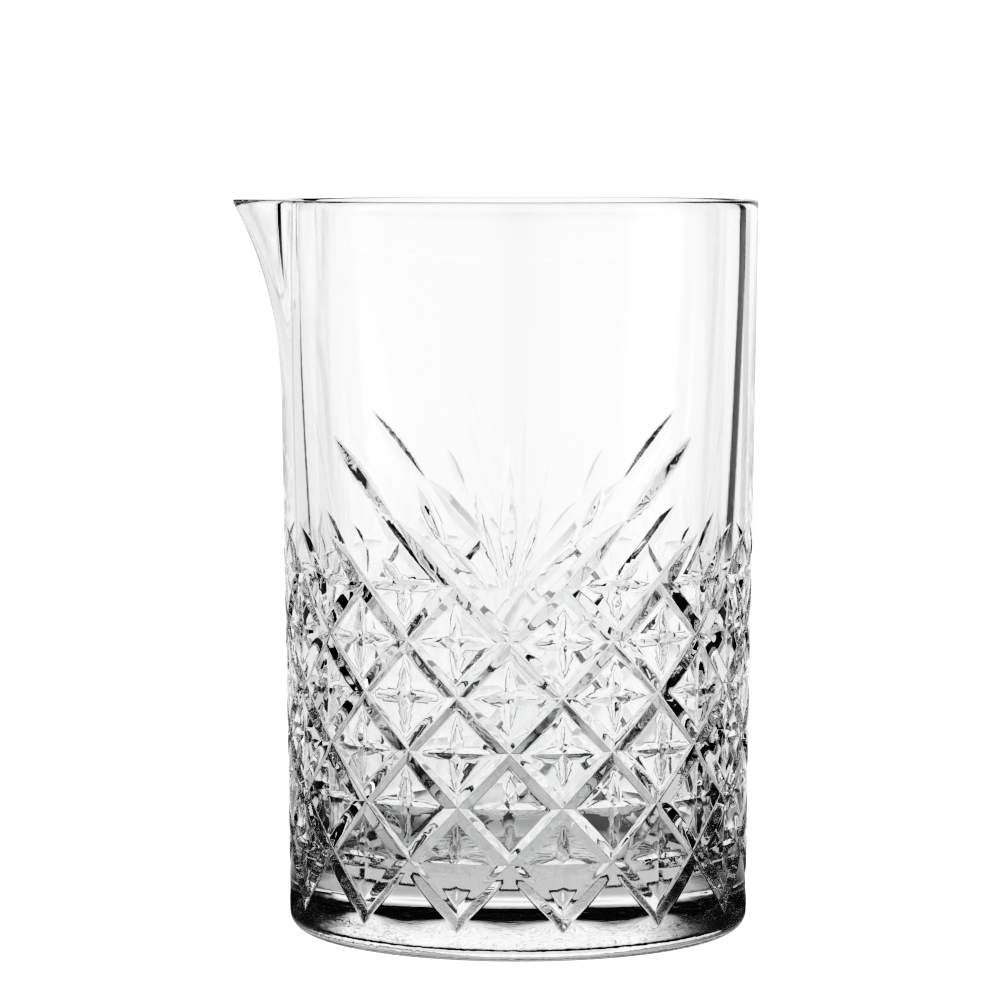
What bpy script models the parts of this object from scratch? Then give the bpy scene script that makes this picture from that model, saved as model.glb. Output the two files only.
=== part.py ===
"""Mixing glass: one piece of pressed clear glass with a pouring lip.

The vessel is a turned body with a heavy base.  A spout is pulled out of the rim towards -X, and a
cut-glass pattern is pressed into the outside of the wall.  The pattern has 14 columns round the glass
and mirrors about the planes X = 0 and Y = 0: mitred grooves cross as a lattice of diamonds, a
four-pointed star is cut in each diamond, and a fan of leaves rises from the lattice at the front (-Y)
and at the back (+Y).

The plain stretches are turned with Screw modifiers.  The cut stretch of the wall is drawn unrolled,
as the lines of the pattern on one quarter of the wall, meshed between those lines, pressed in by the
depth of the cuts, rolled up and mirrored round the glass.

Units are metres, +Z is up, and the origin is the centre of the flat underside, on the axis.
"""
import math

import bmesh
import bpy
from mathutils import Vector
from mathutils.geometry import delaunay_2d_cdt

# Turned body
HEIGHT = 0.149
RIM_RADIUS = 0.0489
FOOT_RADIUS = 0.0468
FLOOR_HEIGHT = 0.0128
RIM_WALL = 0.0036
FLOOR_WALL = 0.0088
WALL_CURVE = 1.45
HEEL_RADIUS = 0.0036
LIP_RADIUS = 0.0008
LIP_HEIGHT = HEIGHT - LIP_RADIUS
FLOOR_CORNER_RADIUS = 0.007
CORNER_STEPS = 4
SEGMENTS_PER_COLUMN = 4

# Spout
SPOUT_REACH = 0.0097
SPOUT_START = 0.106
SPOUT_CURVE = 2.4
SPOUT_THINNING = 0.17
SPOUT_HALF_ANGLE = math.radians(21)
SPOUT_ROWS = 7

# Pattern: columns are counted round the glass from -Y, rows are counted up from the lowest crossing
COLUMNS = 14
COLUMN_ANGLE = 2 * math.pi / COLUMNS
SEGMENTS = COLUMNS * SEGMENTS_PER_COLUMN
QUARTER = COLUMNS / 4
PATTERN_BOTTOM = 0.0052
PATTERN_TOP = 0.1045
ROW_BASE = 0.01967
ROW_STEP = 0.01092
TOP_ROW = 5

GROOVE_HALF_HEIGHT = 0.0027
GROOVE_DEPTH = 0.0013
GROOVE_HALF_COLUMN = GROOVE_HALF_HEIGHT / (2 * ROW_STEP)
TIP_RUN = 0.42
ARM_RUN = 0.60
TAPER_RUN = 0.26
STAR_ARM = 0.0070
STAR_HALF_WIDTH = 0.00135
STAR_DEPTH = 0.0005
LEAF_DEPTH_RATIO = 0.5

# Leaves of the fan, from the fan's middle to the right: foot, tip (column, height) and half width
FAN_LEAVES = [
    ((1.10, 0.0870), (1.81, 0.1026), 0.00145),
    ((0.60, 0.0826), (0.86, 0.0938), 0.00100),
    ((0.25, 0.0756), (0.57, 0.0822), 0.00100),
    ((0.08, 0.0756), (0.29, 0.0925), 0.00080),
]
FAN_SPINE = ((0.0, 0.0745), (0.0, 0.1022), 0.00130)

PLAIN_ROW_SPACING = 0.0058
CLEAR_OF_CUTS = 0.00035

GLASS_COLOUR = (0.95, 0.965, 0.96, 1.0)
GLASS_ROUGHNESS = 0.02
GLASS_IOR = 1.52
MERGE_DISTANCE = 0.00002


def outer_radius(z):
    """Outside of the plain wall, a straight taper from foot to rim."""
    return FOOT_RADIUS + (RIM_RADIUS - FOOT_RADIUS) * z / HEIGHT


def inner_radius(z):
    """Inside of the wall, which thickens towards the floor."""
    drop = (HEIGHT - z) / (HEIGHT - FLOOR_HEIGHT)
    return outer_radius(z) - RIM_WALL - (FLOOR_WALL - RIM_WALL) * drop ** WALL_CURVE


def row_height(row):
    return ROW_BASE + ROW_STEP * row


def arc(centre_x, centre_z, radius, start, end):
    """Points on a corner's arc in the XZ plane, angles in degrees from +X."""
    points = []
    for i in range(CORNER_STEPS + 1):
        angle = math.radians(start + (end - start) * i / CORNER_STEPS)
        points.append((centre_x + radius * math.cos(angle), centre_z + radius * math.sin(angle)))
    return points


def spout_levels():
    return [SPOUT_START + (LIP_HEIGHT - SPOUT_START) * i / SPOUT_ROWS for i in range(SPOUT_ROWS)]


def upper_profile():
    """Half section from the cavity floor's middle, up the inside and over the lip to the pattern."""
    corner_top = FLOOR_HEIGHT + FLOOR_CORNER_RADIUS
    corner_x = inner_radius(corner_top) - FLOOR_CORNER_RADIUS
    lip_inside = inner_radius(LIP_HEIGHT) + LIP_RADIUS
    lip_outside = outer_radius(LIP_HEIGHT) - LIP_RADIUS
    middle = [corner_top + (SPOUT_START - corner_top) * i / 3 for i in range(1, 3)]

    profile = [(0.0, FLOOR_HEIGHT)]
    profile += arc(corner_x, corner_top, FLOOR_CORNER_RADIUS, -90, 0)
    profile += [(inner_radius(z), z) for z in middle + spout_levels()]
    profile += arc(lip_inside, LIP_HEIGHT, LIP_RADIUS, 180, 90)
    profile += arc(lip_outside, LIP_HEIGHT, LIP_RADIUS, 90, 0)
    profile += [(outer_radius(z), z) for z in reversed(spout_levels())]
    profile.append((outer_radius(PATTERN_TOP), PATTERN_TOP))
    return profile


def lower_profile():
    """Half section from under the pattern, round the heel to the middle of the flat underside."""
    heel_x = outer_radius(HEEL_RADIUS) - HEEL_RADIUS
    profile = [(outer_radius(PATTERN_BOTTOM), PATTERN_BOTTOM)]
    profile += arc(heel_x, HEEL_RADIUS, HEEL_RADIUS, 0, -90)
    profile.append((0.0, 0.0))
    return profile


def evaluated_mesh(item):
    """The mesh that an object's modifiers make, in place of the object."""
    depsgraph = bpy.context.evaluated_depsgraph_get()
    mesh = bpy.data.meshes.new_from_object(item.evaluated_get(depsgraph))
    bpy.data.objects.remove(item)
    return mesh


def turned(points):
    """Turn a half section about the Z axis and return the surface's mesh."""
    mesh = bpy.data.meshes.new("profile")
    corners = [(x, 0.0, z) for x, z in points]
    mesh.from_pydata(corners, [(i, i + 1) for i in range(len(corners) - 1)], [])
    profile = bpy.data.objects.new("profile", mesh)
    bpy.context.scene.collection.objects.link(profile)
    screw = profile.modifiers.new("turn", "SCREW")
    screw.steps = SEGMENTS
    screw.render_steps = SEGMENTS
    screw.use_merge_vertices = True
    screw.merge_threshold = MERGE_DISTANCE
    return evaluated_mesh(profile)


def groove_ends():
    """Foot and end column of every groove leaning up to the right that reaches this quarter.

    A groove starts at a lowest V tip.  Right of a fan it runs on past the top crossing as a pointed
    tip, or as an arm of the fan's V, and left of a fan it stops at its top crossing.
    """
    ends = []
    for foot_index in range(-7, 4):
        foot = foot_index + 0.5
        crossing = foot + (TOP_ROW + 1) / 2
        from_fan = crossing % (COLUMNS / 2)
        if from_fan < 1.0:
            ends.append((foot, crossing + ARM_RUN, True))
        elif from_fan <= QUARTER:
            ends.append((foot, crossing + TIP_RUN, True))
        else:
            ends.append((foot, crossing, False))
    return ends


def groove_depth(column, z):
    """Signed depth of the grooves that lean up to the right."""
    deepest = -1.0
    for foot, end, pointed in groove_ends():
        if not foot <= column <= end:
            continue
        middle = row_height(-1) + 2 * ROW_STEP * (column - foot)
        size = min(1.0, (end - column) / TAPER_RUN) if pointed else 1.0
        deepest = max(deepest, GROOVE_DEPTH * (size - abs(z - middle) / GROOVE_HALF_HEIGHT))
    return deepest


def star_centres():
    """Column and height of the middle of every diamond in this quarter."""
    centres = []
    for row in range(TOP_ROW + 1):
        first = 0.0 if row % 2 else 0.5
        for index in range(4):
            column = first + index
            if column <= QUARTER and not (row == TOP_ROW and column == 0.0):
                centres.append((column, row_height(row)))
    return centres


def star_depth(column, z):
    deepest = -1.0
    for centre, height in star_centres():
        x = abs(column - centre) * COLUMN_ANGLE * outer_radius(z)
        y = abs(z - height)
        level = 1.0 - x / STAR_ARM - y / STAR_HALF_WIDTH
        upright = 1.0 - y / STAR_ARM - x / STAR_HALF_WIDTH
        deepest = max(deepest, STAR_DEPTH * max(level, upright))
    return deepest


def leaf_depth(column, z):
    deepest = -1.0
    for foot, tip, half_width in FAN_LEAVES + [FAN_SPINE]:
        scale = COLUMN_ANGLE * outer_radius(z)
        axis = Vector(((tip[0] - foot[0]) * scale, tip[1] - foot[1]))
        offset = Vector(((column - foot[0]) * scale, z - foot[1]))
        along = 2.0 * offset.dot(axis) / axis.length_squared - 1.0
        across = abs(offset.x * axis.y - offset.y * axis.x) / axis.length
        depth = half_width * LEAF_DEPTH_RATIO
        deepest = max(deepest, depth * (1.0 - abs(along) - across / half_width))
    return deepest


def cut_depth(column, z):
    """Signed depth of the deepest cut at a place on the quarter, negative off the cuts."""
    return max(groove_depth(column, z), groove_depth(-column, z), star_depth(column, z),
               leaf_depth(column, z))


def groove_lines():
    """Valleys, hips at the crossings and pillow edges of the lattice."""
    lines = []
    half = GROOVE_HALF_COLUMN
    for row in range(TOP_ROW + 1):
        z = row_height(row)
        first = 0.0 if row % 2 == 0 else 0.5
        for index in range(4):
            node = first + index
            lines.append([(node - half, z), (node, z), (node + half, z)])
            lines.append([(node, z - GROOVE_HALF_HEIGHT), (node, z)])
            if row < TOP_ROW:
                lines.append([(node, z), (node, z + GROOVE_HALF_HEIGHT)])
            for side in (-0.25, 0.25):
                lines.append([(node, z), (node + side, z - ROW_STEP / 2),
                              (node + 2 * side, z - ROW_STEP)])
    for column, z in star_centres():
        side = 0.5 - half
        reach = ROW_STEP - GROOVE_HALF_HEIGHT
        for across in (-side, side):
            for up in (-reach, reach):
                if up < 0 or z < row_height(TOP_ROW):
                    lines.append([(column + across, z), (column + across / 2, z + up / 2),
                                  (column, z + up)])
    foot = row_height(-1)
    for index in range(5):
        tip = index - 0.5
        lines.append([(tip, foot - GROOVE_HALF_HEIGHT), (tip, foot), (tip, foot + GROOVE_HALF_HEIGHT)])
        crest = row_height(0) - GROOVE_HALF_HEIGHT
        between = foot + ROW_STEP / 2 - GROOVE_HALF_HEIGHT
        lines.append([(tip, foot - GROOVE_HALF_HEIGHT), (tip + 0.25, between), (tip + 0.5, crest),
                      (tip + 0.75, between), (tip + 1.0, foot - GROOVE_HALF_HEIGHT)])
    return lines


def tip_lines():
    """Outlines and valleys of the groove ends that run on above the lattice."""
    lines = []
    top = row_height(TOP_ROW)
    half = GROOVE_HALF_COLUMN
    for foot, end, pointed in groove_ends():
        crossing = foot + (TOP_ROW + 1) / 2
        if not pointed or not 0 < crossing <= QUARTER:
            continue
        shoulder = end - TAPER_RUN
        shoulder_z = top + 2 * ROW_STEP * (shoulder - crossing)
        tip = (end, top + 2 * ROW_STEP * (end - crossing))
        lines.append([(crossing, top), (shoulder, shoulder_z), tip])
        lines.append([(crossing - half, top), (crossing, top + GROOVE_HALF_HEIGHT),
                      (shoulder, shoulder_z + GROOVE_HALF_HEIGHT), tip])
        lines.append([(crossing + half, top), (shoulder, shoulder_z - GROOVE_HALF_HEIGHT), tip])
    mirrored = [[(2 * QUARTER - column, z) for column, z in line] for line in lines]
    return lines + mirrored


def star_lines():
    """Outline, valleys and hips of the four-pointed stars."""
    lines = []
    notch = STAR_ARM * STAR_HALF_WIDTH / (STAR_ARM + STAR_HALF_WIDTH)
    for column, z in star_centres():
        scale = COLUMN_ANGLE * outer_radius(z)
        outline = []
        for corner in range(8):
            reach = STAR_ARM if corner % 2 == 0 else notch * math.sqrt(2)
            angle = corner * math.pi / 4
            point = (column + reach * math.cos(angle) / scale, z + reach * math.sin(angle))
            outline.append(point)
            lines.append([(column, z), point])
        lines.append(outline + outline[:1])
    return lines


def leaf_lines():
    """Outline and valley of each leaf of the fan."""
    lines = []
    for foot, tip, half_width in FAN_LEAVES + [FAN_SPINE]:
        middle = ((foot[0] + tip[0]) / 2, (foot[1] + tip[1]) / 2)
        scale = COLUMN_ANGLE * outer_radius(middle[1])
        axis = Vector(((tip[0] - foot[0]) * scale, tip[1] - foot[1])).normalized()
        lines.append([foot, middle, tip])
        for side in (-half_width, half_width):
            shoulder = (middle[0] - side * axis.y / scale, middle[1] + side * axis.x)
            lines.append([foot, shoulder, middle])
            lines.append([shoulder, tip])
    return lines


def border_lines():
    """The quarter's outline, with a point wherever the turned stretches have a vertex."""
    count = round(QUARTER * SEGMENTS_PER_COLUMN)
    columns = [QUARTER * i / count for i in range(count + 1)]
    bottom = [(column, PATTERN_BOTTOM) for column in columns]
    top = [(column, PATTERN_TOP) for column in columns]
    return [bottom, top, [bottom[0], top[0]], [bottom[-1], top[-1]]]


def plain_points():
    """Points between the cuts, close enough together to keep the wall round."""
    points = []
    rows = round((PATTERN_TOP - PATTERN_BOTTOM) / PLAIN_ROW_SPACING)
    count = round(QUARTER * SEGMENTS_PER_COLUMN)
    for row in range(1, rows):
        z = PATTERN_BOTTOM + (PATTERN_TOP - PATTERN_BOTTOM) * row / rows
        for i in range(count + 1):
            column = QUARTER * i / count
            if cut_depth(column, z) < -CLEAR_OF_CUTS:
                points.append((column, z))
    return points


def quarter_sheet():
    """Mesh the unrolled quarter between its lines: a list of (column, height) and of triangles."""
    scale = COLUMN_ANGLE * outer_radius(HEIGHT / 2)
    vertices = []
    edges = []
    for line in border_lines() + groove_lines() + tip_lines() + star_lines() + leaf_lines():
        first = len(vertices)
        vertices += [Vector((column * scale, z)) for column, z in line]
        edges += [(first + i, first + i + 1) for i in range(len(line) - 1)]
    vertices += [Vector((column * scale, z)) for column, z in plain_points()]
    points, _, faces, _, _, _ = delaunay_2d_cdt(vertices, edges, [], 0, MERGE_DISTANCE)
    kept = []
    for face in faces:
        middle = sum((points[i] for i in face), Vector((0.0, 0.0))) / len(face)
        if 0.0 < middle.x < QUARTER * scale and PATTERN_BOTTOM < middle.y < PATTERN_TOP:
            kept.append(face)
    return [(point.x / scale, point.y) for point in points], kept


def patterned_wall():
    """Press the cuts into the quarter sheet, roll it up and mirror it round the glass."""
    sheet, faces = quarter_sheet()
    corners = []
    for column, z in sheet:
        radius = outer_radius(z) - max(cut_depth(column, z), 0.0)
        angle = column * COLUMN_ANGLE
        corners.append((radius * math.sin(angle), -radius * math.cos(angle), z))
    mesh = bpy.data.meshes.new("quarter")
    mesh.from_pydata(corners, [], faces)
    quarter = bpy.data.objects.new("quarter", mesh)
    bpy.context.scene.collection.objects.link(quarter)
    mirror = quarter.modifiers.new("mirror", "MIRROR")
    mirror.use_axis = (True, True, False)
    mirror.merge_threshold = MERGE_DISTANCE
    return evaluated_mesh(quarter)


def spout_pull(angle, z):
    """How far the wall is pulled out at this angle from the spout's middle and at this height."""
    if z <= SPOUT_START or abs(angle) >= SPOUT_HALF_ANGLE:
        return 0.0
    rise = min((z - SPOUT_START) / (HEIGHT - SPOUT_START), 1.0)
    across = math.cos(0.5 * math.pi * angle / SPOUT_HALF_ANGLE) ** 2
    return SPOUT_REACH * rise ** SPOUT_CURVE * across


def pull_spout(body):
    """Pull the spout out, the inside a little further than the outside, so that it thins to its tip."""
    for vertex in body.verts:
        angle = math.atan2(vertex.co.y, -vertex.co.x)
        radius = math.hypot(vertex.co.x, vertex.co.y)
        pull = spout_pull(angle, vertex.co.z)
        inward = (outer_radius(vertex.co.z) - radius) / RIM_WALL
        pull *= 1.0 + SPOUT_THINNING * min(max(inward, 0.0), 1.0)
        if pull > 0.0:
            vertex.co.x *= 1.0 + pull / radius
            vertex.co.y *= 1.0 + pull / radius


def glass_body(collection):
    body = bmesh.new()
    for surface in (turned(upper_profile()), patterned_wall(), turned(lower_profile())):
        body.from_mesh(surface)
    loose = [vertex for vertex in body.verts if not vertex.link_faces]
    bmesh.ops.delete(body, geom=loose, context="VERTS")
    bmesh.ops.remove_doubles(body, verts=body.verts, dist=MERGE_DISTANCE)
    pull_spout(body)
    mesh = bpy.data.meshes.new("glass_body")
    body.to_mesh(mesh)
    body.free()
    mesh.shade_smooth()
    mesh.set_sharp_from_angle(angle=math.radians(12))
    glass = bpy.data.objects.new("glass_body", mesh)
    collection.objects.link(glass)
    return glass


def clear_glass():
    material = bpy.data.materials.new("clear_glass")
    material.use_nodes = True
    shader = material.node_tree.nodes["Principled BSDF"]
    shader.inputs["Base Color"].default_value = GLASS_COLOUR
    shader.inputs["Roughness"].default_value = GLASS_ROUGHNESS
    shader.inputs["Metallic"].default_value = 0.0
    shader.inputs["IOR"].default_value = GLASS_IOR
    shader.inputs["Transmission Weight"].default_value = 1.0
    return material


def main():
    for item in list(bpy.data.objects):
        bpy.data.objects.remove(item)
    parts = bpy.data.collections.new("mixing_glass")
    bpy.context.scene.collection.children.link(parts)
    glass = glass_body(parts)
    glass.data.materials.append(clear_glass())


main()
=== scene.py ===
import math

import bmesh
import bpy
import numpy as np
from mathutils import Euler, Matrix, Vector
from mathutils.geometry import delaunay_2d_cdt


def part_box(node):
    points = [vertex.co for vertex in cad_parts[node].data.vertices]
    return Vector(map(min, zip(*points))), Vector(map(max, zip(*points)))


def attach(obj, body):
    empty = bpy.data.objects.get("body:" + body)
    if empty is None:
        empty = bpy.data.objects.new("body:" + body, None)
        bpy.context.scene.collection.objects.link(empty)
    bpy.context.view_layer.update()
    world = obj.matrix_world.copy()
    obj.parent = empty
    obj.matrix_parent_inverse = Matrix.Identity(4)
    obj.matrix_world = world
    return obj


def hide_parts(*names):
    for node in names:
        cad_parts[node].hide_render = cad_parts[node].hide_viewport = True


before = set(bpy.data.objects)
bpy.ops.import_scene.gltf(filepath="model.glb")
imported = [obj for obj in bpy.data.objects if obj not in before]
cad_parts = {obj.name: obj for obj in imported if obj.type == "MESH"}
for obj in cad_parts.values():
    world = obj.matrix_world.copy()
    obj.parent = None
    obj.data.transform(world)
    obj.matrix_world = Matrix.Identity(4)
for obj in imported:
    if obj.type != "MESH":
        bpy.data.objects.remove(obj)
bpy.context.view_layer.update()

# Lengths are in metres. The spout points to -X and the photographer stands on the -Y side.

# The vessel's size comes from the frame, and the finer dimensions are the part's own
low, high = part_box("glass_body")
HEIGHT = high[2]
RIM_WALL = 0.0036
LIP_RADIUS = 0.0008
LIP_HEIGHT = HEIGHT - LIP_RADIUS
FOOT_RADIUS = 0.0468
RIM_RADIUS = FOOT_RADIUS + (high[0] - FOOT_RADIUS) * HEIGHT / LIP_HEIGHT
FLOOR_HEIGHT = 0.0128
FLOOR_WALL = 0.0088
FLOOR_CORNER_RADIUS = 0.007
WALL_CURVE = 1.45
HEEL_RADIUS = 0.0036

# Spout: its farthest point is halfway round the lip's outer corner, and reaches the frame's -X side
SPOUT_START = 0.106
SPOUT_CURVE = 2.4
SPOUT_THINNING = 0.17
SPOUT_HALF_ANGLE = math.radians(21)
TIP_ANGLE = math.radians(45)
TIP_INSET = LIP_RADIUS * (1 - math.cos(TIP_ANGLE))
TIP_HEIGHT = LIP_HEIGHT + LIP_RADIUS * math.sin(TIP_ANGLE)
TIP_RISE = ((TIP_HEIGHT - SPOUT_START) / (HEIGHT - SPOUT_START)) ** SPOUT_CURVE
TIP_THINNING = 1 + SPOUT_THINNING * TIP_INSET / RIM_WALL
SPOUT_REACH = (-low[0] - high[0] + TIP_INSET) / (TIP_RISE * TIP_THINNING)

# Pattern: columns count from the middle of the front fan toward +X, and one quarter is drawn unrolled
COLUMNS = 14
COLUMN_ANGLE = 2 * math.pi / COLUMNS
UNROLLED_RADIUS = 0.0478
COLUMN_WIDTH = COLUMN_ANGLE * UNROLLED_RADIUS
QUARTER = COLUMNS / 4
QUARTER_COLUMNS = math.ceil(QUARTER)
SHEET_BOTTOM = 0.0042
SHEET_TOP = 0.1045
ROW_BASE = 0.01967
ROW_STEP = 0.01092
TOP_ROW = 5

# Grooves: GROOVE_FEET holds, in columns, the feet of all that reach the quarter or its mirror image. A run
# is how many columns a groove goes on above the top row, and its last TAPER_RUN narrows to a point.
GROOVE_FEET = [index + 0.5 for index in range(-7, 4)]
GROOVE_HALF_HEIGHT = 0.0027
GROOVE_HALF_COLUMN = GROOVE_HALF_HEIGHT / (2 * ROW_STEP)
GROOVE_DEPTH = 0.00130
ARM_COLUMNS = 1.0
ARM_RUN = 0.60
TIP_RUN = 0.42
TAPER_RUN = 0.26

# Stars in the diamonds
STAR_ARM = 0.0069
STAR_HALF_WIDTH = 0.00125
STAR_DEPTH = 0.00045
TOP_STAR_ARM = 0.0018

# The small leaf over each star of the top row, placed from the star's middle
SMALL_LEAF_SIDE = 0.01
SMALL_LEAF_DROP = 0.0006
SMALL_LEAF_LEAN = 0.22
SMALL_LEAF_TOP = 0.0790
SMALL_LEAF_HALF_WIDTH = 0.00095
SMALL_LEAF_DEPTH = 0.00050

# The fan's leaves: foot and tip as (column, height), half width and depth
FAN_LEAVES = [((1.10, 0.0870), (1.81, 0.1026), 0.00150, 0.00095),
              ((0.60, 0.0826), (0.86, 0.0938), 0.00105, 0.00055),
              ((0.20, 0.0740), (0.57, 0.0823), 0.00090, 0.00045),
              ((0.08, 0.0750), (0.29, 0.0925), 0.00070, 0.00035),
              ((0.0, 0.0735), (0.0, 0.1022), 0.00150, 0.00065)]

# Softness of the pressed glass: rounded valleys, ridges and edges, and the fall of each diamond's crown
VALLEY_ROUND = 0.00006
HIP_ROUND = 0.00006
EDGE_ROUND = 0.00016
PILLOW_FALL = 0.00030

# Glass, with a ripple that is full at the foot and fades with height
GLASS_COLOUR = (0.985, 0.99, 0.988, 1.0)
GLASS_IOR = 1.52
RIPPLE_SCALE = 600.0
RIPPLE_DETAIL = 1.5
RIPPLE_HEIGHT = 0.00008
RIPPLE_ABOVE_FOOT = 0.02
RIPPLE_FULL_AT = 0.0002
RIPPLE_FADED_AT = 0.0080

# Fineness of the mesh
SEGMENTS = 168
SHEET_SPACING = 0.00085
ROW_PACKING = 0.87
LINE_CLEARANCE = 0.00040
PARALLEL = 0.00024
MERGE_DISTANCE = 0.000004
LENS_STEPS = 14
CORNER_STEPS = 14
LIP_STEPS = 7
FLOOR_SPACING = 0.004
WALL_SPACING = 0.003
RIM_SPACING = 0.0012
UNDERSIDE_SPACING = 0.006
SLOPE_STEP = 0.00002
NORMAL_INSET = 0.12

# Camera: where the photographer stood, with the angles in radians and the lens in millimetres
CAMERA_DISTANCE = 0.935
CAMERA_HEIGHT = 0.161
CAMERA_AZIMUTH = 0.0396
CAMERA_PITCH = 0.0783
CAMERA_SIDESTEP = 0.00371
CAMERA_CLIP_START = 0.01
FOCAL_LENGTH = 165.1
SENSOR_WIDTH = 36.0

# Studio: a white floor and world for the camera, and a dome and a table of light for the glass
WHITE = (1, 1, 1, 1)
WORLD_LEVEL = 1.15
GROUND_HALF_SIZE = 6.0
GROUND_DROP = 0.0004
GROUND_COLOUR = (0.93, 0.93, 0.93, 1)
GROUND_ROUGHNESS = 0.9
STUDIO_RADIUS = 3.0
STUDIO_AROUND = 720
DOME_RINGS = 40
DOME_GATHER = 1.5
TABLE_RINGS = 50
TABLE_DROP = 0.0003
TABLE_CENTRE_RING = 0.0005
TABLE_FIRST_RING = 0.01

# Levels of light. Azimuths are in degrees from behind the glass (+Y) toward +X. HORIZON goes by azimuth,
# CEILING by elevation in degrees and TABLE by radius. The others are shares of CEILING or TABLE by azimuth:
# TABLE_FAR far out, TABLE_SPREAD nearer and CLOSE_SPREAD close to the base. At its foot the dome is as
# bright as the far table, and each blend gives where one of these passes into the next.
HORIZON = [(-180, 0.08), (-128, 0.08), (-108, 0.90), (-82, 0.90), (-79, 0.0), (-54, 0.0), (-52, 0.72),
           (-32, 0.76), (-22, 0.84), (-16, 0.62), (16, 0.62), (22, 0.84), (30, 0.80), (38, 0.78),
           (41, 0.0), (100, 0.0), (112, 0.85), (156, 0.85), (174, 0.08), (180, 0.08)]
HORIZON_BLEND = (0.8, 2.5)
CEILING = [(0, 0.62), (3.5, 0.62), (6, 0.84), (10, 0.82), (13, 0.68), (17, 0.50), (22, 0.42), (30, 0.38),
           (36, 0.36), (41, 0.03), (90, 0.01)]
CEILING_SPREAD = [(-180, 0.04), (-50, 0.04), (-40, 0.25), (-24, 1.0), (34, 1.0), (43, 0.3), (51, 0.04),
                  (180, 0.04)]
CEILING_BLEND = (2.5, 8.0)
# TABLE dims toward the base: this is the glass's shadow on the table, painted into the table's light, since
# the glass itself casts none.
TABLE = [(0, 0.50), (0.05, 0.50), (0.06, 0.42), (0.08, 0.51), (0.10, 0.67), (0.15, 0.78), (0.20, 0.82),
         (0.30, 0.87), (0.45, 0.93), (0.70, 0.98), (1.1, 1.0), (3.0, 1.0)]
TABLE_FAR = [(-180, 0.20), (-128, 0.20), (-108, 0.86), (-82, 0.86), (-79, 0.0), (-70, 0.0),
             (-68, 0.65), (-44.4, 0.65), (-43.8, 0.0), (-42.6, 0.0), (-42, 0.64), (-32, 0.64),
             (-27, 0.69), (-20, 0.76), (-15, 0.80), (-10, 0.85), (10, 0.85), (13, 0.83), (16, 0.80),
             (20, 0.77), (25, 0.73), (31, 0.69), (31.5, 0.0), (39.5, 0.0), (40, 0.70), (60, 0.72),
             (62, 0.0), (76, 0.0), (79, 0.82), (112, 0.85), (156, 0.85), (174, 0.20), (180, 0.20)]
TABLE_SPREAD = [(-180, 0.25), (-120, 0.25), (-104, 0.72), (-80, 0.74), (-77, 0.03), (-66, 0.03),
                (-63, 0.75), (-45, 0.76), (-20, 0.90), (20, 0.90), (45, 0.76), (61, 0.75), (64, 0.03),
                (76, 0.03), (79, 0.74), (112, 0.76), (158, 0.76), (170, 0.25), (180, 0.25)]
CLOSE_SPREAD = [(-180, 0.75), (-112, 0.75), (-100, 0.35), (-92, 0.08), (-62, 0.08), (-52, 0.45),
                (-35, 0.55), (-25, 0.30), (-14, 0.30), (-8, 0.90), (8, 0.90), (14, 0.30), (25, 0.30),
                (35, 0.55), (52, 0.45), (62, 0.08), (92, 0.08), (100, 0.35), (112, 0.75), (180, 0.75)]
BASE_BLEND = (0.046, 0.054)
CLOSE_BLEND = (0.075, 0.120)
FAR_BLEND = (0.34, 0.48)

# The far table's strips swing outward toward the glass, by LEAN degrees for each 1/metre of closeness
LEAN = 6.0
LEAN_NEAREST = 0.3
LEAN_OFFSET = 0.6
LEAN_SIDE = [(-30, -1), (30, 1)]

# Picture: the tone curve's points are (level before, level after), and it comes after the curves for
# red, green and blue
EXPOSURE = 0.3
GAMMA = 0.75
COMBINED_CURVE = 3
TONE_CURVE = [(0.027, 0.0015), (0.0645, 0.008), (0.105, 0.029), (0.144, 0.072), (0.196, 0.149),
              (0.252, 0.242), (0.385, 0.432), (0.62, 0.68), (0.717, 0.762), (0.81, 0.81)]
GLASS_BOUNCES = 32
GLOSSY_BOUNCES = 16


def outer_radius(z):
    return FOOT_RADIUS + (RIM_RADIUS - FOOT_RADIUS) * z / HEIGHT


def inner_radius(z):
    drop = (HEIGHT - z) / (HEIGHT - FLOOR_HEIGHT)
    return outer_radius(z) - RIM_WALL - (FLOOR_WALL - RIM_WALL) * drop ** WALL_CURVE


def row_height(row):
    return ROW_BASE + ROW_STEP * row


def groove_ends():
    """Foot and end, in columns, of each groove that rises toward +X, and whether it ends in a point."""
    ends = []
    for foot in GROOVE_FEET:
        crossing = foot + (TOP_ROW + 1) / 2
        from_fan = crossing % (2 * QUARTER)
        if from_fan < ARM_COLUMNS:
            ends.append((foot, crossing + ARM_RUN, True))
        elif from_fan <= QUARTER:
            ends.append((foot, crossing + TIP_RUN, True))
        else:
            ends.append((foot, crossing, False))
    return ends


def smooth_max(a, b, width):
    """The greater of the two, rounded where they are closer than the width."""
    near = np.maximum(width - np.abs(a - b), 0.0)
    return np.maximum(a, b) + near * near / (4 * width)


def groove_depth(column, z):
    """Depth in the grooves that rise toward +X, less than zero beside them."""
    deepest = np.full(column.shape, -1.0)
    for foot, end, pointed in groove_ends():
        middle = row_height(-1) + 2 * ROW_STEP * (column - foot)
        size = np.clip((end - column) / TAPER_RUN, 0.0, 1.0) if pointed else 1.0
        away = np.sqrt((z - middle) ** 2 + (VALLEY_ROUND * 2) ** 2)
        depth = GROOVE_DEPTH * (size - away / GROOVE_HALF_HEIGHT)
        inside = (foot <= column) & (column <= end)
        deepest = np.where(inside, np.maximum(deepest, depth), deepest)
    return deepest


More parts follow.
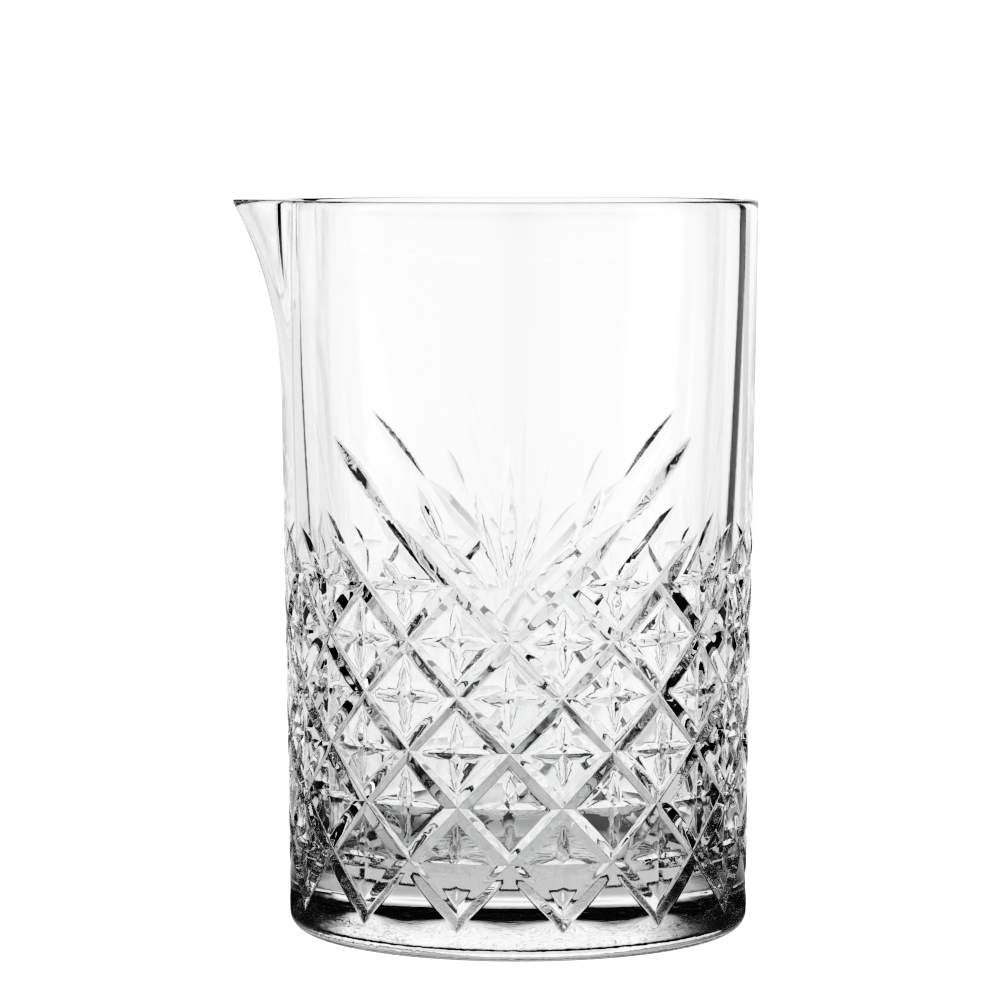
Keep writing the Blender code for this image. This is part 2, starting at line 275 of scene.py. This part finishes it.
def lenses():
    """Lens-shaped cuts: foot and tip as (column, height), half width and depth."""
    cuts = []
    arm = STAR_ARM / COLUMN_WIDTH
    for row in range(TOP_ROW + 1):
        z = row_height(row)
        first = 0.0 if row % 2 else 0.5
        for index in range(QUARTER_COLUMNS):
            column = first + index
            if row == TOP_ROW and column == 0.0:
                continue
            cuts.append(((column - arm, z), (column + arm, z), STAR_HALF_WIDTH, STAR_DEPTH))
            upper_arm = TOP_STAR_ARM if row == TOP_ROW else STAR_ARM
            cuts.append(((column, z - STAR_ARM), (column, z + upper_arm), STAR_HALF_WIDTH, STAR_DEPTH))
            if row == TOP_ROW:
                foot = (column + SMALL_LEAF_SIDE, z - SMALL_LEAF_DROP)
                tip = (column + SMALL_LEAF_LEAN, SMALL_LEAF_TOP)
                cuts.append((foot, tip, SMALL_LEAF_HALF_WIDTH, SMALL_LEAF_DEPTH))
    return cuts + FAN_LEAVES


def lens_depth(column, z, foot, tip, half_width, depth):
    along_x = (tip[0] - foot[0]) * COLUMN_WIDTH
    along_z = tip[1] - foot[1]
    length = math.hypot(along_x, along_z)
    x = (column - foot[0]) * COLUMN_WIDTH
    y = z - foot[1]
    t = 2.0 * (x * along_x + y * along_z) / length ** 2 - 1.0
    across = np.abs(x * along_z - y * along_x) / length
    return depth * (1.0 - t * t - across / half_width)


def fold(column):
    """The same place on the first quarter of the pattern."""
    return np.abs((column + QUARTER) % (2 * QUARTER) - QUARTER)


def ease(t):
    return t * t * (3 - 2 * t)


def pillow_fall(column, z):
    """How far the wall between the grooves falls away from the middle of each diamond."""
    rise = (z - row_height(-1)) / (2 * ROW_STEP)
    across = column + rise
    along = column - rise
    across -= np.round(across)
    along -= np.round(along)
    fade = np.clip((row_height(TOP_ROW) - z) / ROW_STEP, 0.0, 1.0)
    fade *= np.clip((z - row_height(-1) + GROOVE_HALF_HEIGHT) / GROOVE_HALF_HEIGHT, 0.0, 1.0)
    return PILLOW_FALL * 2 * (across ** 2 + along ** 2) * ease(fade)


def cut_depth(column, z):
    column = fold(column)
    deepest = smooth_max(groove_depth(column, z), groove_depth(-column, z), HIP_ROUND)
    plain = pillow_fall(column, z)
    lens_cuts = np.full(column.shape, -1.0)
    for lens in lenses():
        lens_cuts = np.maximum(lens_cuts, lens_depth(column, z, *lens))
    deepest = smooth_max(deepest, lens_cuts + plain, HIP_ROUND)
    return smooth_max(deepest, plain, EDGE_ROUND)


def spout_pull(angle, z):
    """How far the wall is pulled out, with the angle measured from the spout's middle."""
    rise = np.clip((z - SPOUT_START) / (HEIGHT - SPOUT_START), 0.0, 1.0)
    across = np.cos(0.5 * np.pi * np.clip(angle / SPOUT_HALF_ANGLE, -1.0, 1.0)) ** 2
    return SPOUT_REACH * rise ** SPOUT_CURVE * across


def outer_point(column, z):
    radius = outer_radius(z) - cut_depth(column, z)
    angle = column * COLUMN_ANGLE
    return np.stack([radius * np.sin(angle), -radius * np.cos(angle), z], axis=-1)


def outer_normal(column, z):
    """The patterned wall's normal, from the depths a small step to each side."""
    step = SLOPE_STEP
    radius = outer_radius(z) - cut_depth(column, z)
    wide = step / COLUMN_WIDTH
    per_column = (cut_depth(column - wide, z) - cut_depth(column + wide, z)) / (2 * wide * COLUMN_ANGLE)
    taper = (RIM_RADIUS - FOOT_RADIUS) / HEIGHT
    per_height = taper + (cut_depth(column, z - step) - cut_depth(column, z + step)) / (2 * step)
    angle = column * COLUMN_ANGLE
    out = np.stack([np.sin(angle), -np.cos(angle), np.zeros_like(angle)], axis=-1)
    side = np.stack([np.cos(angle), np.sin(angle), np.zeros_like(angle)], axis=-1)
    up = np.array([0.0, 0.0, 1.0])
    normal = out - (per_column / radius)[..., None] * side - per_height[..., None] * up
    return normal / np.linalg.norm(normal, axis=-1, keepdims=True)


def lattice_lines():
    """Valleys, mitres and edges of the grooves below the top row of crossings."""
    lines = []
    half = GROOVE_HALF_COLUMN
    high_side = GROOVE_HALF_HEIGHT
    for row in range(TOP_ROW + 1):
        z = row_height(row)
        first = 0.0 if row % 2 == 0 else 0.5
        for index in range(QUARTER_COLUMNS + 1):
            node = first + index
            lines.append([(node - half, z), (node, z), (node + half, z)])
            lines.append([(node, z - high_side), (node, z)])
            if row < TOP_ROW:
                lines.append([(node, z), (node, z + high_side)])
            for side in (-0.5, 0.5):
                lines.append([(node, z), (node + side, z - ROW_STEP)])
    for row in range(TOP_ROW + 1):
        z = row_height(row)
        first = 0.0 if row % 2 else 0.5
        for index in range(QUARTER_COLUMNS + 1):
            column = first + index
            side = 0.5 - half
            reach = ROW_STEP - high_side
            for across in (-side, side):
                lines.append([(column + across, z), (column, z - reach)])
                if row < TOP_ROW:
                    lines.append([(column + across, z), (column, z + reach)])
    foot = row_height(-1)
    for index in range(QUARTER_COLUMNS + 1):
        tip = index - 0.5
        lines.append([(tip, foot - high_side), (tip, foot), (tip, foot + high_side)])
        crest = (tip + 0.5, row_height(0) - high_side)
        lines.append([(tip, foot - high_side), crest, (tip + 1.0, foot - high_side)])
    return lines


def groove_tip_lines():
    """Valley and edges of each groove that runs on above the top row, and of its mirror image."""
    lines = []
    half = GROOVE_HALF_COLUMN
    high_side = GROOVE_HALF_HEIGHT
    top = row_height(TOP_ROW)
    for foot, end, pointed in groove_ends():
        crossing = foot + (TOP_ROW + 1) / 2
        if not pointed or not 0 < crossing <= QUARTER:
            continue
        shoulder = end - TAPER_RUN
        shoulder_z = top + 2 * ROW_STEP * (shoulder - crossing)
        tip = (end, top + 2 * ROW_STEP * (end - crossing))
        lines.append([(crossing, top), (shoulder, shoulder_z), tip])
        lines.append([(crossing - half, top), (crossing, top + high_side),
                      (shoulder, shoulder_z + high_side), tip])
        lines.append([(crossing + half, top), (shoulder, shoulder_z - high_side), tip])
    return lines + [[(2 * QUARTER - column, z) for column, z in line] for line in lines]


def lens_lines():
    """Edges and valley of each lens-shaped cut, and the mitres where a star's arms cross."""
    lines = []
    for foot, tip, half_width, _ in lenses():
        along = Vector(((tip[0] - foot[0]) * COLUMN_WIDTH, tip[1] - foot[1]))
        across = Vector((-along.y, along.x)).normalized() * half_width
        start = Vector((foot[0] * COLUMN_WIDTH, foot[1]))
        for side in (-1, 0, 1):
            points = []
            for i in range(LENS_STEPS + 1):
                t = 2 * i / LENS_STEPS - 1
                p = start + along * (t + 1) / 2 + across * side * (1 - t * t)
                points.append((p.x / COLUMN_WIDTH, p.y))
            lines.append(points)
    ratio = STAR_HALF_WIDTH / STAR_ARM
    notch = STAR_ARM * (math.sqrt(1 + 4 * ratio * ratio) - 1) / (2 * ratio)
    wide = notch / COLUMN_WIDTH
    for foot, tip, _, _ in lenses():
        is_level_arm = foot[1] == tip[1]
        if is_level_arm:
            column = (foot[0] + tip[0]) / 2
            for turn in (-1, 1):
                lines.append([(column - wide, foot[1] - turn * notch), (column, foot[1]),
                              (column + wide, foot[1] + turn * notch)])
    return lines


def beside(line, offset):
    """The line moved sideways by an offset."""
    points = [Vector((column * COLUMN_WIDTH, z)) for column, z in line]
    moved = []
    for i, point in enumerate(points):
        before, after = points[max(i - 1, 0)], points[min(i + 1, len(points) - 1)]
        along = (after - before).normalized()
        moved.append(((point.x - along.y * offset) / COLUMN_WIDTH, point.y + along.x * offset))
    return moved


def subdivided(line):
    """The line's points in metres, with more between them."""
    points = [Vector((column * COLUMN_WIDTH, z)) for column, z in line]
    fine = [points[0]]
    for a, b in zip(points, points[1:]):
        count = max(1, round((b - a).length / SHEET_SPACING))
        fine += [a.lerp(b, i / count) for i in range(1, count + 1)]
    return fine


def sheet_lines():
    """Every line that the unrolled quarter's triangles have to follow."""
    count = round(QUARTER * SEGMENTS / COLUMNS)
    ring = [QUARTER * i / count for i in range(count + 1)]
    border = [[Vector((c * COLUMN_WIDTH, z)) for c in ring] for z in (SHEET_BOTTOM, SHEET_TOP)]
    sides = [subdivided([(c, SHEET_BOTTOM), (c, SHEET_TOP)]) for c in (0.0, QUARTER)]
    cuts = lattice_lines() + groove_tip_lines()
    cuts += [beside(line, turn) for line in cuts for turn in (-PARALLEL, PARALLEL)]
    return border + sides + [subdivided(line) for line in cuts + lens_lines()]


def fill_points(segments):
    """A triangular grid of points over the quarter, without those close to a line."""
    rows = round((SHEET_TOP - SHEET_BOTTOM) / (SHEET_SPACING * ROW_PACKING))
    columns = round(QUARTER * COLUMN_WIDTH / SHEET_SPACING)
    fill = []
    for row in range(1, rows):
        z = SHEET_BOTTOM + (SHEET_TOP - SHEET_BOTTOM) * row / rows
        for i in range(columns + 1):
            x = (i + 0.5 * (row % 2)) * SHEET_SPACING
            if LINE_CLEARANCE < x < QUARTER * COLUMN_WIDTH - LINE_CLEARANCE:
                fill.append((x, z))
    fill = np.array(fill)
    clear = np.ones(len(fill), bool)
    for ax, az, bx, bz in segments:
        dx, dz = bx - ax, bz - az
        length = dx * dx + dz * dz
        if length == 0.0:
            continue
        t = np.clip(((fill[:, 0] - ax) * dx + (fill[:, 1] - az) * dz) / length, 0.0, 1.0)
        away = np.hypot(fill[:, 0] - ax - t * dx, fill[:, 1] - az - t * dz)
        clear &= away > LINE_CLEARANCE
    return [Vector(p) for p in fill[clear]]


def quarter_sheet():
    """The unrolled quarter: columns and heights of its points, and its triangles."""
    vertices = []
    edges = []
    segments = []
    for line in sheet_lines():
        first = len(vertices)
        vertices += line
        edges += [(first + i, first + i + 1) for i in range(len(line) - 1)]
        segments += [(a.x, a.y, b.x, b.y) for a, b in zip(line, line[1:])]
    vertices += fill_points(segments)
    points, _, faces, _, _, _ = delaunay_2d_cdt(vertices, edges, [], 0, MERGE_DISTANCE)
    points = np.array([tuple(p) for p in points])
    faces = np.array([f for f in faces if len(f) == 3])
    middle = points[faces].mean(axis=1)
    kept = ((0 < middle[:, 0]) & (middle[:, 0] < QUARTER * COLUMN_WIDTH)
            & (SHEET_BOTTOM < middle[:, 1]) & (middle[:, 1] < SHEET_TOP))
    used, faces = np.unique(faces[kept], return_inverse=True)
    points = points[used]
    return points[:, 0] / COLUMN_WIDTH, points[:, 1], faces.reshape(-1, 3)


def arc(centre_x, centre_z, radius, start, end, steps):
    angles = np.radians(np.linspace(start, end, steps + 1))
    return [(centre_x + radius * math.cos(a), centre_z + radius * math.sin(a)) for a in angles]


def spread(start, end, spacing):
    """Even steps from start to end, each about the spacing."""
    count = max(1, round(abs(end - start) / spacing))
    return [start + (end - start) * i / count for i in range(count + 1)]


def upper_profile():
    """From beside the middle of the floor, up the inside, over the lip and down to the pattern."""
    corner_top = FLOOR_HEIGHT + FLOOR_CORNER_RADIUS
    corner_x = inner_radius(corner_top) - FLOOR_CORNER_RADIUS
    lip_inside = inner_radius(LIP_HEIGHT) + LIP_RADIUS
    lip_outside = outer_radius(LIP_HEIGHT) - LIP_RADIUS
    profile = [(x, FLOOR_HEIGHT) for x in spread(corner_x, 0.0, FLOOR_SPACING)[:-1]][::-1]
    profile += arc(corner_x, corner_top, FLOOR_CORNER_RADIUS, -90, 0, CORNER_STEPS)[1:]
    profile += [(inner_radius(z), z) for z in spread(corner_top, SPOUT_START, WALL_SPACING)[1:]]
    profile += [(inner_radius(z), z) for z in spread(SPOUT_START, LIP_HEIGHT, RIM_SPACING)[1:-1]]
    profile += arc(lip_inside, LIP_HEIGHT, LIP_RADIUS, 180, 90, LIP_STEPS)
    profile += arc(lip_outside, LIP_HEIGHT, LIP_RADIUS, 90, 0, LIP_STEPS)
    profile += [(outer_radius(z), z) for z in spread(LIP_HEIGHT, SHEET_TOP, RIM_SPACING)[1:]]
    return profile


def lower_profile():
    """From the pattern's lower edge, round the heel and in under the base."""
    heel_x = outer_radius(HEEL_RADIUS) - HEEL_RADIUS
    profile = [(outer_radius(SHEET_BOTTOM), SHEET_BOTTOM)]
    profile += arc(heel_x, HEEL_RADIUS, HEEL_RADIUS, 0, -90, CORNER_STEPS)
    profile += [(x, 0.0) for x in spread(heel_x, 0.0, UNDERSIDE_SPACING)[1:-1]]
    return profile


def turned(profile, points, faces, closing):
    """Append a turned profile that runs so as to face outwards, closed to the axis at one end."""
    first = len(points)
    angles = 2 * math.pi * np.arange(SEGMENTS) / SEGMENTS
    from_spout = (angles + math.pi) % (2 * math.pi) - math.pi
    for x, z in profile:
        inward = min(max((outer_radius(z) - x) / RIM_WALL, 0.0), 1.0)
        pull = spout_pull(from_spout, np.full(SEGMENTS, z)) * (1.0 + SPOUT_THINNING * inward)
        radius = x + pull
        points += list(zip(-radius * np.cos(angles), -radius * np.sin(angles), np.full(SEGMENTS, z)))
    for i in range(len(profile) - 1):
        for j in range(SEGMENTS):
            a = first + i * SEGMENTS + j
            b = first + i * SEGMENTS + (j + 1) % SEGMENTS
            faces.append((a, a + SEGMENTS, b + SEGMENTS, b))
    ring = 0 if closing == "start" else len(profile) - 1
    centre = len(points)
    points.append((0.0, 0.0, profile[ring][1]))
    for j in range(SEGMENTS):
        a = first + ring * SEGMENTS + j
        b = first + ring * SEGMENTS + (j + 1) % SEGMENTS
        faces.append((a, b, centre) if closing == "start" else (b, a, centre))


def glass_mesh():
    """Plain stretches, then the pattern's quarter four times, every second one mirrored."""
    points = []
    faces = []
    turned(upper_profile(), points, faces, "start")
    turned(lower_profile(), points, faces, "end")
    plain_faces = len(faces)
    column, z, sheet = quarter_sheet()
    for sign, start in ((1, 0.0), (-1, 0.0), (-1, 2 * QUARTER), (1, -2 * QUARTER)):
        first = len(points)
        points += [tuple(p) for p in outer_point(start + sign * column, z)]
        order = sheet if sign > 0 else sheet[:, ::-1]
        faces += [tuple(f) for f in (order + first)]
    mesh = bpy.data.meshes.new("glass")
    mesh.from_pydata(points, [], faces)
    mesh.attributes.new("patterned", "BOOLEAN", "FACE")
    mesh.attributes["patterned"].data.foreach_set("value", np.arange(len(faces)) >= plain_faces)
    return mesh


def weld(mesh):
    """Join the stretches along the edges they share."""
    work = bmesh.new()
    work.from_mesh(mesh)
    bmesh.ops.remove_doubles(work, verts=work.verts, dist=MERGE_DISTANCE)
    work.to_mesh(mesh)
    work.free()


def read_all(items, name, kind, width=1):
    """One property of every item, as an array."""
    values = np.zeros(len(items) * width, kind)
    items.foreach_get(name, values)
    return values.reshape(-1, width) if width > 1 else values


def shade(mesh):
    """Corner normals: the turned stretches' own, and the exact ones of each facet on the pattern."""
    mesh.shade_smooth()
    normals = read_all(mesh.corner_normals, "vector", np.float32, 3)
    places = read_all(mesh.vertices, "co", np.float32, 3).astype(float)
    corner_vertex = read_all(mesh.loops, "vertex_index", np.int32)
    starts = read_all(mesh.polygons, "loop_start", np.int32)
    patterned = read_all(mesh.attributes["patterned"].data, "value", bool)
    loops = starts[patterned][:, None] + np.arange(3)[None, :]
    corner = places[corner_vertex[loops]]
    centre = corner.mean(axis=1, keepdims=True)
    near = corner + (centre - corner) * NORMAL_INSET
    column = np.arctan2(near[..., 0], -near[..., 1]) / COLUMN_ANGLE
    exact = outer_normal(column, near[..., 2])
    normals[loops.reshape(-1)] = exact.reshape(-1, 3)
    mesh.normals_split_custom_set(normals)


def clear_glass():
    """Clear glass, with the ripple of the mould in its surface near the foot."""
    material = bpy.data.materials.new("clear_glass")
    material.use_nodes = True
    nodes = material.node_tree.nodes
    links = material.node_tree.links
    shader = nodes["Principled BSDF"]
    shader.inputs["Base Color"].default_value = GLASS_COLOUR
    shader.inputs["Roughness"].default_value = 0.0
    shader.inputs["IOR"].default_value = GLASS_IOR
    shader.inputs["Transmission Weight"].default_value = 1.0
    place = nodes.new("ShaderNodeTexCoord")
    ripple = nodes.new("ShaderNodeTexNoise")
    ripple.inputs["Scale"].default_value = RIPPLE_SCALE
    ripple.inputs["Detail"].default_value = RIPPLE_DETAIL
    split = nodes.new("ShaderNodeSeparateXYZ")
    fade = nodes.new("ShaderNodeMapRange")
    fade.inputs["From Min"].default_value = RIPPLE_FULL_AT
    fade.inputs["From Max"].default_value = RIPPLE_FADED_AT
    fade.inputs["To Min"].default_value = 1.0
    fade.inputs["To Max"].default_value = RIPPLE_ABOVE_FOOT
    height = nodes.new("ShaderNodeMath")
    height.operation = "MULTIPLY"
    bump = nodes.new("ShaderNodeBump")
    bump.inputs["Strength"].default_value = 1.0
    bump.inputs["Distance"].default_value = RIPPLE_HEIGHT
    links.new(place.outputs["Object"], ripple.inputs["Vector"])
    links.new(place.outputs["Object"], split.inputs[0])
    links.new(split.outputs["Z"], fade.inputs["Value"])
    links.new(ripple.outputs["Fac"], height.inputs[0])
    links.new(fade.outputs[0], height.inputs[1])
    links.new(height.outputs[0], bump.inputs["Height"])
    links.new(bump.outputs["Normal"], shader.inputs["Normal"])
    return material


def make_glass():
    mesh = glass_mesh()
    weld(mesh)
    shade(mesh)
    mesh.materials.append(clear_glass())
    glass = bpy.data.objects.new("mixing_glass", mesh)
    bpy.context.scene.collection.objects.link(glass)
    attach(glass, "root")
    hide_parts("glass_body")
    # The glass casts no shadow; its shadow on the table is painted into the table's light instead.
    glass.visible_shadow = False
    glass.visible_diffuse = False


def make_floor():
    mesh = bpy.data.meshes.new("floor")
    size = GROUND_HALF_SIZE
    corners = [(-size, -size, 0), (size, -size, 0), (size, size, 0), (-size, size, 0)]
    mesh.from_pydata(corners, [], [(0, 1, 2, 3)])
    floor = bpy.data.objects.new("floor", mesh)
    floor.location.z = -GROUND_DROP
    material = bpy.data.materials.new("pale_floor")
    material.use_nodes = True
    shader = material.node_tree.nodes["Principled BSDF"]
    shader.inputs["Base Color"].default_value = GROUND_COLOUR
    shader.inputs["Roughness"].default_value = GROUND_ROUGHNESS
    shader.inputs["Specular IOR Level"].default_value = 0.0
    mesh.materials.append(material)
    bpy.context.scene.collection.objects.link(floor)


def make_world():
    world = bpy.data.worlds.new("studio")
    world.use_nodes = True
    back = world.node_tree.nodes["Background"]
    back.inputs["Color"].default_value = WHITE
    back.inputs["Strength"].default_value = WORLD_LEVEL
    bpy.context.scene.world = world


def lit(name):
    """Light as strong as each point's own level."""
    material = bpy.data.materials.new(name)
    material.use_nodes = True
    nodes = material.node_tree.nodes
    links = material.node_tree.links
    nodes.remove(nodes["Principled BSDF"])
    light = nodes.new("ShaderNodeEmission")
    light.inputs["Color"].default_value = WHITE
    level = nodes.new("ShaderNodeAttribute")
    level.attribute_name = "level"
    links.new(level.outputs["Fac"], light.inputs["Strength"])
    links.new(light.outputs[0], nodes["Material Output"].inputs["Surface"])
    material.cycles.emission_sampling = "NONE"
    return material


def between(value, steps):
    """Straight-line reading of (place, level) steps."""
    return np.interp(value, [place for place, _ in steps], [level for _, level in steps])


def blend(value, start, end):
    """From 0 at the start to 1 at the end, without a kink."""
    return ease(np.clip((value - start) / (end - start), 0.0, 1.0))


def dome_level(azimuth, elevation):
    overhead = between(elevation, CEILING) * between(azimuth, CEILING_SPREAD)
    low = blend(elevation, *HORIZON_BLEND)
    level = between(azimuth, TABLE_FAR) * (1 - low) + between(azimuth, HORIZON) * low
    t = blend(elevation, *CEILING_BLEND)
    return level * (1 - t) + overhead * t


def table_level(azimuth, radius):
    # Under and close to the base the table's light is dimmed: a painted shadow of the glass.
    under = 1 - blend(radius, *BASE_BLEND)
    close = 1 - blend(radius, *CLOSE_BLEND)
    sideways = between(azimuth, TABLE_SPREAD) * (1 - close) + between(azimuth, CLOSE_SPREAD) * close
    near = between(radius, TABLE) * (under + (1 - under) * sideways)
    lean = LEAN * max(1.0 / max(radius, LEAN_NEAREST) - LEAN_OFFSET, 0.0)
    far = between(azimuth - lean * between(azimuth, LEAN_SIDE), TABLE_FAR)
    t = blend(radius, *FAR_BLEND)
    return near * (1 - t) + between(radius, TABLE) * far * t


def grid_of_light(name, rings, ring_place, level_at):
    """Rings of light that only the glass reflects and refracts."""
    points = []
    levels = []
    for ring in rings:
        across, up = ring_place(ring)
        for j in range(STUDIO_AROUND):
            azimuth = -180.0 + 360.0 * j / STUDIO_AROUND
            angle = math.radians(azimuth)
            points.append((across * math.sin(angle), across * math.cos(angle), up))
            levels.append(float(level_at(azimuth, ring)))
    faces = []
    for i in range(len(rings) - 1):
        for j in range(STUDIO_AROUND):
            a = i * STUDIO_AROUND + j
            b = i * STUDIO_AROUND + (j + 1) % STUDIO_AROUND
            faces.append((a, b, b + STUDIO_AROUND, a + STUDIO_AROUND))
    mesh = bpy.data.meshes.new(name)
    mesh.from_pydata(points, [], faces)
    mesh.attributes.new("level", "FLOAT", "POINT")
    mesh.attributes["level"].data.foreach_set("value", levels)
    mesh.materials.append(lit(name))
    item = bpy.data.objects.new(name, mesh)
    bpy.context.scene.collection.objects.link(item)
    item.visible_camera = False
    item.visible_diffuse = False
    item.visible_shadow = False


def surround():
    """The studio round the vessel, from the horizon up to the dark ceiling."""
    def place(elevation):
        up = math.radians(elevation)
        return STUDIO_RADIUS * math.cos(up), STUDIO_RADIUS * math.sin(up)
    rings = [90.0 * (i / DOME_RINGS) ** DOME_GATHER for i in range(DOME_RINGS + 1)]
    grid_of_light("surround", rings, place, dome_level)


def table():
    """The table as the glass sees it, with the glass's own shadow painted into its light near the base, and
    with dark strips to the sides.
    """
    widening = STUDIO_RADIUS / TABLE_FIRST_RING
    rings = [TABLE_CENTRE_RING]
    rings += [TABLE_FIRST_RING * widening ** (i / TABLE_RINGS) for i in range(TABLE_RINGS + 1)]
    grid_of_light("table", rings, lambda radius: (radius, -TABLE_DROP), table_level)


def make_camera():
    data = bpy.data.cameras.new("camera")
    data.lens = FOCAL_LENGTH
    data.sensor_width = SENSOR_WIDTH
    data.clip_start = CAMERA_CLIP_START
    camera = bpy.data.objects.new("camera", data)
    forward = Vector((-math.sin(CAMERA_AZIMUTH), math.cos(CAMERA_AZIMUTH), 0))
    right = Vector((forward.y, -forward.x, 0))
    place = -forward * CAMERA_DISTANCE - right * CAMERA_SIDESTEP
    camera.location = (place.x, place.y, CAMERA_HEIGHT)
    camera.rotation_euler = Euler((math.pi / 2 - CAMERA_PITCH, 0, CAMERA_AZIMUTH))
    bpy.context.scene.collection.objects.link(camera)
    bpy.context.scene.camera = camera


def set_tone_curve(view_settings):
    """Deepen the shadows and lift the lights, as in a contrasty print."""
    view_settings.use_curve_mapping = True
    tone = view_settings.curve_mapping.curves[COMBINED_CURVE]
    for place, level in TONE_CURVE:
        tone.points.new(place, level)
    view_settings.curve_mapping.update()


def set_picture():
    scene = bpy.context.scene
    scene.view_settings.view_transform = "Standard"
    scene.view_settings.exposure = EXPOSURE
    scene.view_settings.gamma = GAMMA
    set_tone_curve(scene.view_settings)
    scene.cycles.max_bounces = GLASS_BOUNCES
    scene.cycles.transmission_bounces = GLASS_BOUNCES
    scene.cycles.glossy_bounces = GLOSSY_BOUNCES


make_camera()
make_world()
make_floor()
surround()
table()
make_glass()
set_picture()
